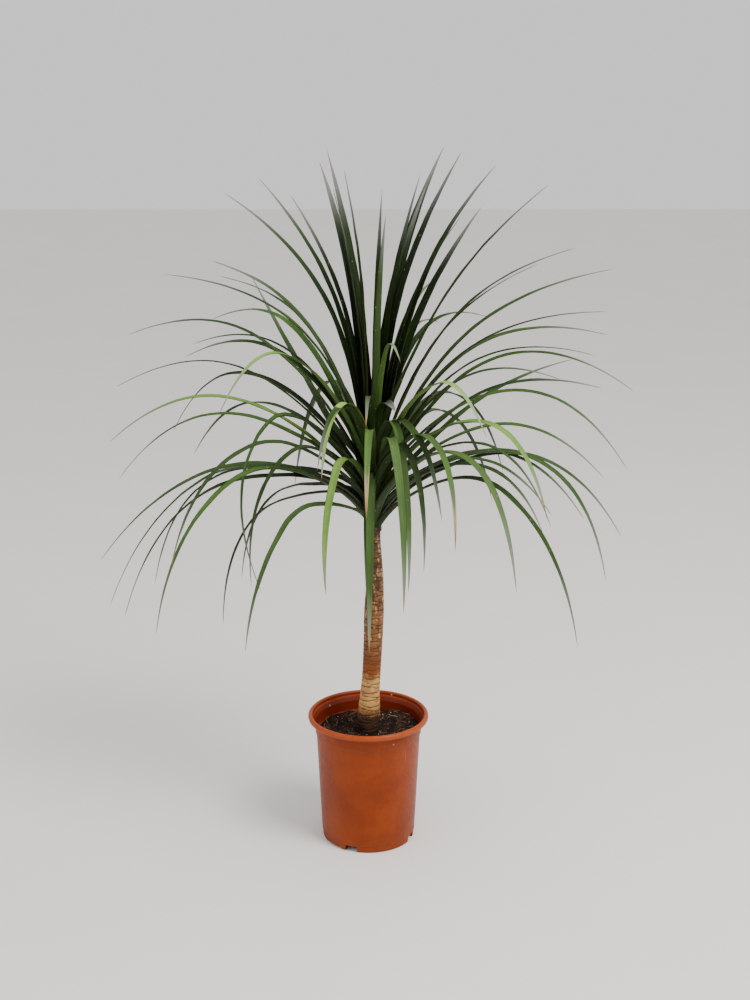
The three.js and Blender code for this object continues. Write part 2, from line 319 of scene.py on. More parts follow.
def read_leaf(node):
    """Rows from base to tip: midline, half width, direction across, direction up."""
    points, neighbours = welded(node)
    slim_ends = (rings_from(points, neighbours, i) for i, near in enumerate(neighbours) if len(near) == 4)
    layers = next(layers for layers in slim_ends if all(len(layer) == 4 for layer in layers[1:]))[::-1]
    middles, halves, acrosses, ups = [], [], [], []
    for ring in layers[:-1]:
        gaps = np.linalg.norm(ring[:, None] - ring[None], axis=2)
        left, right = np.unravel_index(gaps.argmax(), gaps.shape)
        inner = [i for i in range(4) if i not in (left, right)]
        edge, keel = (ring[left] + ring[right]) / 2, ring[inner].mean(0)
        middles.append(keel)
        halves.append(gaps.max() / 2)
        acrosses.append((ring[left] - ring[right]) / gaps.max())
        ups.append(edge - keel)
    middles.append(layers[-1][0])
    halves.append(0.0)
    acrosses.append(acrosses[-1])
    ups.append(ups[-1])
    return tidy_rows(np.array(middles), np.array(halves), np.array(acrosses), np.array(ups))


def tidy_rows(middles, halves, acrosses, ups):
    """Squares the three directions up with each other and points every one the same way along the blade."""
    along = np.gradient(middles, axis=0)
    along /= np.linalg.norm(along, axis=1)[:, None]
    for i in range(len(middles)):
        across = acrosses[i] - along[i] * (acrosses[i] @ along[i])
        across /= np.linalg.norm(across)
        up = np.cross(along[i], across)
        if up @ ups[i] < 0:
            across, up = -across, -up
        acrosses[i], ups[i] = across, up
    return {"middle": middles, "half": halves, "across": acrosses, "up": ups}


leaf_names = sorted(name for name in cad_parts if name.startswith("leaf_"))
leaves = {name: read_leaf(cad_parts[name]) for name in leaf_names}
lengths = {n: np.linalg.norm(np.diff(rows["middle"], axis=0), axis=1).sum() for n, rows in leaves.items()}
print(len(leaves), "leaves of", len(leaves["leaf_01"]["middle"]), "stations, lengths",
      round(min(lengths.values()), 3), "to", round(max(lengths.values()), 3), "m")

# %% [markdown]
# ## The line of the stem
# The stem of the frame is a stack of level rings. Their middles and radii are measured once here, because
# both the bark and the leaf sheaths have to follow the same slightly bent line.


# %% Measuring the stem
def stem_rings(node):
    """Height, middle x, middle y and radius of each level ring of the frame's stem."""
    points, _ = welded(node)
    rows = []
    for level in np.unique(points[:, 2].round(4)):
        ring = points[np.abs(points[:, 2] - level) < 2e-4]
        if len(ring) > 6:
            centre = ring.mean(0)
            rows.append([level, centre[0], centre[1],
                         np.linalg.norm(ring[:, :2] - centre[:2], axis=1).mean()])
    return np.array(rows)


STEM = stem_rings(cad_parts["stem"])


def stem_at(height):
    return [float(np.interp(height, STEM[:, 0], STEM[:, column])) for column in (1, 2, 3)]


print(len(STEM), "rings of stem from", STEM[0, 0], "to", STEM[-1, 0], "m, radii",
      STEM[:, 3].min().round(4), "to",
      STEM[:, 3].max().round(4))

# %% [markdown]
# ## Leaves between the leaves
# A real crown of this size carries more leaves than the frame needs for its weight and its outline. The
# extra ones are blends of two leaves of the frame. Walking up the spiral, each starts from one leaf and
# takes as its partner the younger leaf, a few turns further up, that points most nearly the same way. The
# blend is made in the round, by bearing, reach and height, so it never cuts across the stem. Small steps of
# turn, length and drop, in a simple rhythm, keep the blends from lying exactly half way.

# %% Partners and blended leaves
EXTRA_LEAVES = 31
NEAREST_STEP, FURTHEST_STEP = 3, 13
TURN_STEP = math.radians(12)
SHORTEST, LENGTH_STEP = 0.82, 0.06
DROP = 0.02


def polar(points):
    flat = points - CROWN_AXIS
    return np.hypot(flat[:, 0], flat[:, 1]), np.unwrap(np.arctan2(flat[:, 1], flat[:, 0])), flat[:, 2]


def between(first, second, turn, stretch, drop):
    """Rows of a leaf that lies half way between two leaves of the frame."""
    (reach, bearing, height), (reach_2, bearing_2,
                               height_2) = polar(first["middle"]), polar(second["middle"])
    place = np.linspace(0, 1, len(reach))
    swing = (bearing_2 - bearing + math.pi) % math.tau - math.pi
    bearing = bearing + swing / 2 + turn * np.clip(place / 0.35, 0, 1)
    reach = (reach + reach_2) / 2
    height = (height + height_2) / 2
    reach = reach[0] + (reach - reach[0]) * stretch
    height = height[0] + (height - height[0]) * stretch - drop * place**2
    middle = np.stack([reach * np.cos(bearing), reach * np.sin(bearing), height], axis=1) + CROWN_AXIS
    half = (first["half"] + second["half"]) / 2
    across = np.stack([-np.sin(bearing), np.cos(bearing), np.zeros(len(bearing))], axis=1)
    up = np.cross(np.gradient(middle, axis=0), across)
    return tidy_rows(middle, half, across, up)


def tip_bearing(rows):
    return polar(rows["middle"])[1][-1]


def partner(order):
    """The place in the spiral of the younger leaf that points most nearly the same way."""
    higher = range(order + NEAREST_STEP, min(order + FURTHEST_STEP + 1, len(leaf_names)))
    own_way = tip_bearing(leaves[leaf_names[order]])
    return min(higher, key=lambda i: 1 - math.cos(tip_bearing(leaves[leaf_names[i]]) - own_way))


olders = np.linspace(1, len(leaf_names) - NEAREST_STEP - 1, EXTRA_LEAVES).round().astype(int)
youngers = [partner(int(order)) for order in olders]
blends = []
for i, (older, younger) in enumerate(zip(olders, youngers)):
    steps = (i % 3 - 1) * TURN_STEP, SHORTEST + LENGTH_STEP * (i % 4), DROP * math.sin(i)
    blends.append(between(leaves[leaf_names[older]], leaves[leaf_names[younger]], *steps))
print(len(blends), "blended leaves, furthest tip",
      round(max(abs(b["middle"][-1][:2]).max() for b in blends), 3), "m")

# %% [markdown]
# ## Tone, bloom with painted sheen, and dry tips
# No two leaves of the crown have quite one colour. Young spears are deep green and older leaves
# yellow-green, and each leaf's tone also carries painted shade, deepest on the upright spears, and painted
# light on the leaves that arch towards the lamp. The ones that hang in front are greyed partly by a thin
# bloom and partly by a painted sheen. Two numbers from 0 to 1 say this for each leaf, and a third says how
# much of the tip has dried. They travel with the blade as values on its mesh, so one finish serves every
# leaf.

# %% Leaf characters
USUAL = (0.34, 0.25, 0.03)
CHARACTER = {
    1: (0.3, 0.1, 0.03), 2: (0.15, 0.1, 0.02), 3: (0.45, 0.7, 0.05), 4: (0.35, 0.3, 0.04),
    5: (0.5, 0.4, 0.12), 6: (0.5, 0.7, 0.04), 8: (0.5, 0.35, 0.03), 9: (0.35, 0.3, 0.03),
    10: (0.15, 0.15, 0.02), 11: (0.45, 0.4, 0.05), 13: (0.4, 0.3, 0.03), 14: (0.35, 0.3, 0.05),
    15: (0.25, 0.5, 0.03), 16: (0.35, 0.3, 0.04), 17: (0.4, 0.25, 0.03), 18: (0.5, 0.3, 0.03),
    19: (0.5, 0.45, 0.14), 21: (0.8, 0.2, 0.04), 22: (0.8, 0.35, 0.05), 24: (0.85, 0.45, 0.07),
    25: (0.4, 0.2, 0.03), 26: (0.15, 0.1, 0.03), 27: (0.5, 0.8, 0.05), 29: (0.5, 0.2, 0.03),
    30: (0.45, 0.2, 0.04), 31: (0.5, 0.25, 0.03), 32: (0.6, 0.5, 0.18), 35: (0.95, 0.15, 0.03),
    37: (0.8, 0.2, 0.03), 40: (0.5, 0.8, 0.04), 41: (0.2, 0.1, 0.02), 43: (0.3, 0.1, 0.02),
    44: (0.05, 0.0, 0.02), 45: (0.9, 0.2, 0.03), 46: (0.12, 0.0, 0.02), 47: (0.3, 0.1, 0.02),
    48: (0.75, 0.25, 0.03), 49: (0.08, 0.0, 0.02), 50: (0.3, 0.1, 0.02), 51: (0.15, 0.0, 0.02),
    52: (0.08, 0.0, 0.02), 53: (0.45, 0.6, 0.02), 54: (0.08, 0.0, 0.02), 55: (0.06, 0.0, 0.02),
    56: (0.2, 0.0, 0.02), 57: (0.05, 0.0, 0.02),
}
BLEND_CHARACTER = [(0.26, 0.2, 0.03), (0.38, 0.3, 0.05), (0.18, 0.15, 0.03), (0.3, 0.25, 0.04)]
# The added leaves beside the upright spears take a dark tone that is partly painted shade.
DARK_SPEAR, FIRST_SPEAR = (0.1, 0.0, 0.02), 50
print(len(CHARACTER), "leaves have a colour of their own, the others", USUAL)

# %% [markdown]
# ## Spines with clasping bases
# At its foot a leaf is a pale sheath that wraps the stem, and the older sheaths cover the younger ones.
# Each spine gets one more point a little lower on the stem, a wider half width there and a stronger roll.
# Roll is the angle from the midline of the blade to its edge: more than a right angle's half at the sheath,
# and slight near the tip. A small twist along the blade keeps neighbouring leaves from looking stamped from
# one sheet.

# %% Spines
SHEATH_DROP = 0.013
SHEATH_GAP = 0.0008
SHEATH_HALF = (0.0092, 0.0088, 0.0080, 0.0070)
# These spears are made broader than their solids in the frame.
BROAD_SPEARS, BROADER = (44, 46, 49, 51, 52, 54, 55, 56), 1.3
ROLL_PLACES, ROLL_ANGLES = (0.0, 0.05, 0.13, 0.5, 1.0), (1.3, 1.15, 0.75, 0.55, 0.35)
TWIST = 0.42


def spine(rows, number, character):
    """Points of one leaf from sheath to tip, with everything that the blade tree reads at each."""
    foot = rows["middle"][0]
    x, y, radius = stem_at(foot[2] - SHEATH_DROP)
    outward = foot[:2] - [x, y]
    low = np.array([x, y]) + outward / np.linalg.norm(outward) * (radius + SHEATH_GAP)
    middle = np.vstack([[*low, foot[2] - SHEATH_DROP], rows["middle"]])
    half = np.concatenate([[SHEATH_HALF[0]], rows["half"]])
    half[:4] = np.maximum(half[:4], SHEATH_HALF)
    if number in BROAD_SPEARS:
        half[3:] *= BROADER
    run = np.concatenate([[0.0], np.cumsum(np.linalg.norm(np.diff(middle, axis=0), axis=1))])
    place = run / run[-1]
    across = np.vstack([rows["across"][:1], rows["across"]])
    up = np.vstack([rows["up"][:1], rows["up"]])
    angle = TWIST * math.sin(number * 2.4) * place**1.5
    turned = across * np.cos(angle)[:, None] + up * np.sin(angle)[:, None]
    up = up * np.cos(angle)[:, None] - across * np.sin(angle)[:, None]
    tone, sheen_and_bloom, dry = character
    steady = {"tone": tone, "sheen_and_bloom": sheen_and_bloom, "dry": dry, "seed": number * 0.73}
    each = {"half": half, "roll": np.interp(place, ROLL_PLACES, ROLL_ANGLES), "across": turned, "up": up}
    return {"middle": middle, "each": each, "steady": steady}


def spine_mesh(name, spines):
    """Chains of points joined by edges, one chain a leaf, carrying the values of each leaf."""
    mesh = bpy.data.meshes.new(name)
    points = np.vstack([s["middle"] for s in spines])
    edges, start = [], 0
    for s in spines:
        count = len(s["middle"])
        edges += [(start + i, start + i + 1) for i in range(count - 1)]
        start += count
    mesh.from_pydata(points.tolist(), edges, [])
    for key in ("half", "roll", "across", "up"):
        values = np.concatenate([s["each"][key] for s in spines]).astype(np.float32)
        vector = values.ndim == 2
        layer = mesh.attributes.new(key, "FLOAT_VECTOR" if vector else "FLOAT", "POINT")
        layer.data.foreach_set("vector" if vector else "value", values.ravel())
    for key in ("tone", "sheen_and_bloom", "dry", "seed"):
        spread_out = [np.full(len(s["middle"]), s["steady"][key]) for s in spines]
        values = np.concatenate(spread_out).astype(np.float32)
        mesh.attributes.new(key, "FLOAT", "POINT").data.foreach_set("value", values)
    return mesh


own = {n: spine(leaves[n], int(n[5:]), CHARACTER.get(int(n[5:]), USUAL)) for n in leaf_names}
added = []
for i, (younger, rows) in enumerate(zip(youngers, blends)):
    added.append(spine(rows, 60 + i, DARK_SPEAR if younger >= FIRST_SPEAR else BLEND_CHARACTER[i % 4]))
print(len(own) + len(added), "spines of", len(added[0]["middle"]), "points")

# %% [markdown]
# ## The leaf finish
# The blade is satin, with fine fibres along it and a reddish margin; painted shade darkens its underside
# and its foot, and a painted reflection greys the tip. The finish reads the blade's own map: across it from
# 0 to
# 1 and back round the underside, and along it from sheath to tip.
# So the fibres and the margin bend with each leaf. The dried tip creeps in as an uneven front, cream first
# and brown at the end.

# %% Leaf finish
leaf_look, tree, shader = finish("leaf_blade", Specular_IOR_Level=0.16)
place = put(tree, "ShaderNodeSeparateXYZ", {"Vector": put(tree, "ShaderNodeUVMap", uv_map="UVMap")})
round_it, along_it = place, outlet(place, "Y")
off_middle = maths(tree, "ABSOLUTE", minus(tree, round_it, 0.5))
to_edge = maths(tree, "ABSOLUTE", minus(tree, 1.0, times(tree, off_middle, 4.0)))
under = maths(tree, "GREATER_THAN", round_it, 0.5)
seed = stored(tree, "seed")
fibre = effect(tree, FIBRE, Across=to_edge, Along=times(tree, along_it, 9.0), Lines=26.0, Seed=seed)
broad = effect(tree, FIBRE, Across=to_edge, Along=times(tree, along_it, 4.0), Lines=5.0, Seed=seed)
cloudy = effect(tree, BLOTCH, Vector=object_place(tree), Scale=14.0, Seed=seed)
tone = plus(tree, stored(tree, "tone"), remap(tree, cloudy, 0.0, 1.0, -0.1, 0.1))
tone = plus(tree, tone, remap(tree, broad, 0.0, 1.0, -0.08, 0.1))
# Painted shade: every leaf is darker towards its foot, where the crown shades it.
tone = plus(tree, tone, remap(tree, along_it, 0.02, 0.45, -0.34, 0.0, True))
greens = ["#0b1702", "#152b03", "#284510", "#446d1e", "#6f9a3a", "#97b954"]
green = ramp(tree, tone, [(i / 5, paint(code)) for i, code in enumerate(greens)])
# Painted sheen and bloom: leaves with a high value are greyed, partly for a real bloom and partly as a
# painted reflection of the light.
sheen_bloom_share = times(tree, stored(tree, "sheen_and_bloom"), remap(tree, fibre, 0.0, 1.0, 0.35, 0.75))
green = tint(tree, sheen_bloom_share, green, paint("#637a4d"))
# Painted shade: the underside of each blade is darkened.
green = tint(tree, times(tree, under, 0.7), green, paint("#172a08"))
green = tint(tree, times(tree, remap(tree, fibre, 0.55, 1.0), 0.16), green, paint("#6f8f45"))
margin = remap(tree, to_edge, 0.84, 0.97, 0.0, 0.6, True)
green = tint(tree, margin, green, paint("#4a2c1a"))
spots = effect(tree, SPECK, Vector=object_place(tree), Scale=260.0, Share=0.035)
green = tint(tree, times(tree, spots, 0.6), green, paint("#b9ad84"))
# The tip greys towards its end, partly its own paling and partly a painted reflection.
pale_tip_and_reflection = remap(tree, along_it, 0.72, 1.0, 0.0, 0.6, True)
green = tint(tree, pale_tip_and_reflection, green, paint("#9c9f9a"))
streaks = times(tree, minus(tree, broad, 0.5), plus(tree, stored(tree, "dry"), 0.05))
front = plus(tree, along_it, times(tree, streaks, 0.9))
front = plus(tree, front, times(tree, to_edge, 0.02))
dryness = remap(tree, minus(tree, plus(tree, front, stored(tree, "dry")), 1.0), -0.02, 0.015,
                smooth=True)
straw = tint(tree, remap(tree, along_it, 0.85, 1.0), paint("#c4ac7d"), paint("#6d4a2c"))
tree.links.new(tint(tree, dryness, green, straw), shader.inputs["Base Color"])
sheen = remap(tree, plus(tree, fibre, times(tree, dryness, 1.2)), 0.0, 1.6, 0.4, 0.68)
tree.links.new(sheen, shader.inputs["Roughness"])
bump(tree, shader, plus(tree, fibre, times(tree, broad, 0.8)), 0.00035, 0.6)
print("leaf finish has", len(tree.nodes), "nodes")

# %% [markdown]
# ## Growing the blades
# All the leaves share one rule, so one tree grows them. It turns the chains into smooth curves and lays one
# flat sheet on each. A sheet's first direction runs round the section, over the top from edge to edge and
# back underneath, and its second runs along the spine. Every point of the sheet then reads its curve's
# values and moves to its place on the rolled blade. Points that meet at the edges, the sheath and the tip
# are merged, which closes the skin. It could be done with a curve's own profile, but then the roll could
# not change along the leaf.


# %% Blade tree
BLADE, blade = shape_tree("leaf_blades", Stations=40, Round=17, Thickness=0.0012, Crease=0.16,
                          Ripple=0.0009,
                          Finish=leaf_look)
lines = put(BLADE, "GeometryNodeMeshToCurve", {"Mesh": blade["Geometry"]})
lines = put(BLADE, "GeometryNodeCurveSplineType", {"Curve": lines}, spline_type="CATMULL_ROM")
size = put(BLADE, "GeometryNodeAttributeDomainSize", {"Geometry": lines}, component="CURVE")
dots = put(BLADE, "GeometryNodePoints", {"Count": outlet(size, "Spline Count")})
numbered = {"Geometry": dots, "Name": "leaf", "Value": put(BLADE, "GeometryNodeInputIndex")}
dots = put(BLADE, "GeometryNodeStoreNamedAttribute", numbered, data_type="INT", domain="POINT")
sheet = put(BLADE, "GeometryNodeMeshGrid", {"Size X": 1.0, "Size Y": 1.0, "Vertices X": blade["Round"],
                                            "Vertices Y": blade["Stations"]})
mapped = {"Geometry": sheet, "Name": "UVMap", "Value": outlet(sheet, "UV Map")}
mapped = put(BLADE, "GeometryNodeStoreNamedAttribute", mapped, data_type="FLOAT2", domain="CORNER")
sheets = put(BLADE, "GeometryNodeInstanceOnPoints", {"Points": dots, "Instance": mapped})
sheets = put(BLADE, "GeometryNodeRealizeInstances", {"Geometry": sheets})

here = put(BLADE, "ShaderNodeSeparateXYZ", {"Vector": put(BLADE, "GeometryNodeInputPosition")})
turn = plus(BLADE, here, 0.5)
climb = plus(BLADE, outlet(here, "Y"), 0.5)
which = put(BLADE, "GeometryNodeInputNamedAttribute", {"Name": "leaf"}, data_type="INT")


def along_spine(name, kind="FLOAT"):
    value = put(BLADE, "GeometryNodeInputNamedAttribute", {"Name": name}, data_type=kind)
    inputs = {"Curves": lines, "Value": value, "Factor": climb, "Curve Index": which}
    return put(BLADE, "GeometryNodeSampleCurve", inputs, data_type=kind, mode="FACTOR",
               use_all_curves=False)


half, roll = along_spine("half"), maths(BLADE, "MAXIMUM", along_spine("roll"), 0.1)
across = vectors(BLADE, "NORMALIZE", along_spine("across", "FLOAT_VECTOR"))
up = vectors(BLADE, "NORMALIZE", along_spine("up", "FLOAT_VECTOR"))
edge = minus(BLADE, 1.0, times(BLADE, maths(BLADE, "ABSOLUTE", minus(BLADE, turn, 0.5)), 4.0))
side = maths(BLADE, "SIGN", minus(BLADE, 0.5, turn))
bend = times(BLADE, roll, edge)
wide = maths(BLADE, "DIVIDE", times(BLADE, half, maths(BLADE, "SINE", bend)), roll)
high = minus(BLADE, 1.0, maths(BLADE, "COSINE", bend))
high = maths(BLADE, "DIVIDE", times(BLADE, half, high), roll)
fold = maths(BLADE, "SQRT", plus(BLADE, times(BLADE, edge, edge), 0.01))
high = plus(BLADE, high, times(BLADE, times(BLADE, fold, half), blade["Crease"]))
plump = minus(BLADE, 1.0, maths(BLADE, "POWER", maths(BLADE, "ABSOLUTE", edge), 3.0))
ends = maths(BLADE, "MINIMUM", remap(BLADE, climb, 0.0, 0.03), remap(BLADE, climb, 0.97, 1.0, 1.0, 0.0))
stout = remap(BLADE, climb, 0.0, 0.25, 1.5, 0.5, True)
skin = times(BLADE, times(BLADE, plump, ends), times(BLADE, stout, blade["Thickness"]))
skin = times(BLADE, skin, side)
wave_place = put(BLADE, "ShaderNodeCombineXYZ", {"X": times(BLADE, climb, 14.0), "Y": edge,
                                                "Z": along_spine("seed")})
wave = put(BLADE, "ShaderNodeTexNoise", {"Vector": wave_place, "Scale": 1.0, "Detail": 1.0})
wave = times(BLADE, minus(BLADE, wave, 0.5), blade["Ripple"])
wave = times(BLADE, times(BLADE, wave, remap(BLADE, half, 0.0, 0.006, 0.0, 3.0)),
             remap(BLADE, climb, 0.1, 0.25))
high = plus(BLADE, plus(BLADE, high, skin), wave)
spot = outlet(along_spine("half"), "Position")
spot = vectors(BLADE, "ADD", spot, vectors(BLADE, "ADD", scaled(BLADE, across, wide),
                                           scaled(BLADE, up, high)))
for name in ("tone", "sheen_and_bloom", "dry", "seed"):
    inputs = {"Geometry": sheets, "Name": name, "Value": along_spine(name)}
    sheets = put(BLADE, "GeometryNodeStoreNamedAttribute", inputs, data_type="FLOAT", domain="POINT")
sheets = put(BLADE, "GeometryNodeSetPosition", {"Geometry": sheets, "Position": spot})
sheets = put(BLADE, "GeometryNodeFlipFaces", {"Mesh": sheets})
sheets = put(BLADE, "GeometryNodeMergeByDistance", {"Geometry": sheets, "Distance": 0.00001})
sheets = put(BLADE, "GeometryNodeSetShadeSmooth", {"Geometry": sheets})
close_tree(BLADE, sheets, blade["Finish"])
print("blade tree has", len(BLADE.nodes), "nodes")

# %% [markdown]
# ## Three tiers of leaves
# The crown is kept as three pieces, lower, middle and upper, so that no one mesh grows too heavy. Each
# stands for its own leaves of the frame. The volume of a closed skin is positive when its faces point
# outwards, so printing it shows at once whether the sheets were laid the right way round.


# %% Growing the crown
def solid_volume(piece):
    work = bmesh.new()
    work.from_mesh(piece.data)
    volume, open_edges = work.calc_volume(signed=True), sum(not e.is_manifold for e in work.edges)
    work.free()
    return round(volume * 1e6, 1), open_edges


tiers = {"lower_leaves": leaf_names[:19], "middle_leaves": leaf_names[19:38],
         "upper_leaves": leaf_names[38:]}
for order, (name, members) in enumerate(tiers.items()):
    share = [s for i, s in enumerate(added) if i % 3 == order]
    piece = grow(name, spine_mesh(name, [own[n] for n in members] + share), BLADE, Finish=leaf_look)
    volume, open_edges = solid_volume(piece)
    print(name, len(members) + len(share), "leaves,", volume, "cm3,", open_edges, "open edges")
    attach(piece, "root")
    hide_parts(*members)

# %% [markdown]
# ## Leaf scars
# Every leaf that the stem has dropped leaves a thin dark line almost round it. The line isn't level: it
# rises on one side and falls on the other, and the next one is turned by the same angle as the leaves,
# 137.5 degrees. So the lines weave through each other and leave lens-shaped patches of bark. One function
# writes this rule as maths nodes. It's used twice, in the shape tree to cut the grooves and in the finish
# to darken them, so the two always agree.

# %% The weave of scars
LEAF_TURN = math.radians(137.5)


def scar_lines(tree, angle, height, pitch, sway, width):
    """1 on a scar line and 0 away from it, for an angle round the stem and a height, both fields."""
    first = maths(tree, "FLOOR", maths(tree, "DIVIDE", height, pitch))
    total = None
    for step in (-1, 0, 1, 2):
        order = plus(tree, first, float(step))
        swing = maths(tree, "COSINE", minus(tree, angle, times(tree, order, LEAF_TURN)))
        level = plus(tree, times(tree, order, pitch), times(tree, swing, sway))
        gap = maths(tree, "DIVIDE", maths(tree, "ABSOLUTE", minus(tree, height, level)), width)
        line = remap(tree, gap, 0.0, 1.0, 1.0, 0.0, True)
        total = line if total is None else maths(tree, "MAXIMUM", total, line)
    return total


SCAR_PITCH, SCAR_SWAY, SCAR_WIDTH = 0.0047, 0.0030, 0.0011
print("scars every", SCAR_PITCH * 1000, "mm, swaying", SCAR_SWAY * 1000, "mm either way")

# %% [markdown]
# ## The bark finish
# The bark changes as it climbs. At the foot it's dusted with mix, then comes a bright tan length, then a
# smooth orange-brown one, and above that it's mottled brown with cream flecks until the green of the crown.
# A colour ramp over the height carries these bands. Scars, flecks and fine cracks are laid over it from the
# shared groups.

# %% Bark finish
bark_look, tree, shader = finish("scarred_bark", Specular_IOR_Level=0.3)
where = object_place(tree)
place = put(tree, "ShaderNodeSeparateXYZ", {"Vector": put(tree, "ShaderNodeUVMap", uv_map="UVMap")})
level = outlet(put(tree, "ShaderNodeSeparateXYZ", {"Vector": where}), "Z")
patchy = effect(tree, BLOTCH, Vector=where, Scale=90.0, Seed=3.0)
wobble = times(tree, minus(tree, patchy, 0.5), 0.0026)
angle = times(tree, place, math.tau)
scar = scar_lines(tree, angle, plus(tree, level, wobble), SCAR_PITCH, SCAR_SWAY, SCAR_WIDTH)
uneven = plus(tree, level, remap(tree, effect(tree, BLOTCH, Vector=where, Scale=45.0, Seed=1.0), 0, 1,
                                 -0.008, 0.008))
bands = [(0.184, "#1c110a"), (0.202, "#3a2415"), (0.211, "#9c6b3c"), (0.221, "#cc9855"), (0.262, "#cc9a5a"),
         (0.275, "#85450f"), (0.305, "#713808"), (0.33, "#8a5628"), (0.43, "#77502c"), (0.49, "#50391c"),
         (0.515, "#22280a")]
BAND_LOW, BAND_HIGH = 0.17, 0.52
climb = remap(tree, uneven, BAND_LOW, BAND_HIGH)
bark = ramp(tree, climb, [((h - BAND_LOW) / (BAND_HIGH - BAND_LOW), paint(code)) for h, code in bands])
bark = tint(tree, times(tree, patchy, 0.35), bark, paint("#5a3519"))
upper = remap(tree, level, 0.3, 0.345, smooth=True)
fleck = put(tree, "ShaderNodeMapping", {"Vector": where, "Scale": (1.0, 1.0, 0.4)})
fleck = remap(tree, effect(tree, BLOTCH, Vector=fleck, Scale=150.0, Seed=7.0), 0.62, 0.85, smooth=True)
bark = tint(tree, times(tree, times(tree, fleck, upper), 0.75), bark, paint("#c9a27c"))
diamonds = put(tree, "ShaderNodeMapping", {"Vector": where, "Scale": (1.0, 1.0, 0.55)})
diamonds = remap(tree, effect(tree, BLOTCH, Vector=diamonds, Scale=110.0, Seed=11.0), 0.6, 0.8, smooth=True)
bark = tint(tree, times(tree, times(tree, diamonds, upper), 0.8), bark, paint("#3b2413"))
smoother = remap(tree, maths(tree, "ABSOLUTE", minus(tree, level, 0.292)), 0.01, 0.025, 0.35, 0.8)
bark = tint(tree, times(tree, scar, smoother), bark, paint("#2a180b"))
crumbs_on = effect(tree, SPECK, Vector=where, Scale=420.0, Share=0.3)
low_dust = remap(tree, level, 0.19, 0.225, 1.0, 0.1, True)
bark = tint(tree, times(tree, crumbs_on, low_dust), bark, paint("#1e120b"))
tree.links.new(bark, shader.inputs["Base Color"])
tree.links.new(remap(tree, patchy, 0.0, 1.0, 0.5, 0.78), shader.inputs["Roughness"])
grain = put(tree, "ShaderNodeTexNoise", {"Vector": where, "Scale": 700.0, "Detail": 4.0})
relief = minus(tree, times(tree, grain, 0.5), scar)
bump(tree, shader, relief, 0.0005, 0.8)
print("bark finish has", len(tree.nodes), "nodes")

# %% [markdown]
# ## Growing the stem
# The stem follows the same recipe as a blade: a flat sheet is wrapped round a curve, here with the radius
# as the only value read from it. The scar lines press the surface in, slow noise makes it slightly knobbly,
# and the first and last rows shrink to a point, which closes both ends.

# %% Stem tree
TRUNK, trunk = shape_tree("scarred_stem", Round=65, Rows=520, Groove=0.0007, Knobs=0.0011, Finish=bark_look)
line = put(TRUNK, "GeometryNodeMeshToCurve", {"Mesh": trunk["Geometry"]})
line = put(TRUNK, "GeometryNodeCurveSplineType", {"Curve": line}, spline_type="CATMULL_ROM")
sheet = put(TRUNK, "GeometryNodeMeshGrid", {"Size X": 1.0, "Size Y": 1.0, "Vertices X": trunk["Round"],
                                            "Vertices Y": trunk["Rows"]})
wrap = {"Geometry": sheet, "Name": "UVMap", "Value": outlet(sheet, "UV Map")}
wrap = put(TRUNK, "GeometryNodeStoreNamedAttribute", wrap, data_type="FLOAT2", domain="CORNER")
here = put(TRUNK, "ShaderNodeSeparateXYZ", {"Vector": put(TRUNK, "GeometryNodeInputPosition")})
turn = times(TRUNK, plus(TRUNK, here, 0.5), math.tau)
climb = plus(TRUNK, outlet(here, "Y"), 0.5)
radius = put(TRUNK, "GeometryNodeInputNamedAttribute", {"Name": "radius"}, data_type="FLOAT")
radius = put(TRUNK, "GeometryNodeSampleCurve",
             {"Curves": line, "Value": radius, "Factor": climb, "Curve Index": 0},
             data_type="FLOAT", mode="FACTOR", use_all_curves=False)
middle = outlet(radius, "Position")
level = outlet(put(TRUNK, "ShaderNodeSeparateXYZ", {"Vector": middle}), "Z")
round_way = put(TRUNK, "ShaderNodeCombineXYZ",
                {"X": maths(TRUNK, "COSINE", turn), "Y": maths(TRUNK, "SINE", turn)})
groove = scar_lines(TRUNK, turn, level, SCAR_PITCH, SCAR_SWAY, SCAR_WIDTH)
knob = vectors(TRUNK, "ADD", middle, scaled(TRUNK, round_way, radius))
knob = put(TRUNK, "ShaderNodeTexNoise", {"Vector": knob, "Scale": 70.0, "Detail": 3.0})
knob = times(TRUNK, minus(TRUNK, knob, 0.5), trunk["Knobs"])
radius = plus(TRUNK, radius, minus(TRUNK, knob, times(TRUNK, groove, trunk["Groove"])))
open_rows = times(TRUNK, maths(TRUNK, "GREATER_THAN", climb, 0.0005),
                  maths(TRUNK, "LESS_THAN", climb, 0.9995))
radius = times(TRUNK, radius, open_rows)
wrap = put(TRUNK, "GeometryNodeSetPosition",
           {"Geometry": wrap, "Position": vectors(TRUNK, "ADD", middle, scaled(TRUNK, round_way, radius))})
wrap = put(TRUNK, "GeometryNodeMergeByDistance", {"Geometry": wrap, "Distance": 0.00001})
wrap = put(TRUNK, "GeometryNodeSetShadeSmooth", {"Geometry": wrap})
close_tree(TRUNK, wrap, trunk["Finish"])

chain = bpy.data.meshes.new("stem_line")
chain.from_pydata(STEM[:, [1, 2, 0]].tolist(), [(i, i + 1) for i in range(len(STEM) - 1)], [])
chain.attributes.new("radius", "FLOAT", "POINT").data.foreach_set("value", STEM[:, 3].astype(np.float32))
stem = grow("bare_stem", chain, TRUNK, Finish=bark_look)
print("stem volume and open edges", solid_volume(stem))
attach(stem, "root")
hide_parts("stem")

# %% [markdown]
# ## The pot
# The pot is one thin moulding with the same section all the way round, so it's turned from a profile like a
# lathe would. Plastic has no sharp corners, so each corner of the profile is first cut into a short curve.
# The bead at the mouth is part of an ellipse. Drain slots and the chip in the foot are then cut with a
# boolean, as a mould would leave them, because they are the only places where the section isn't the same.

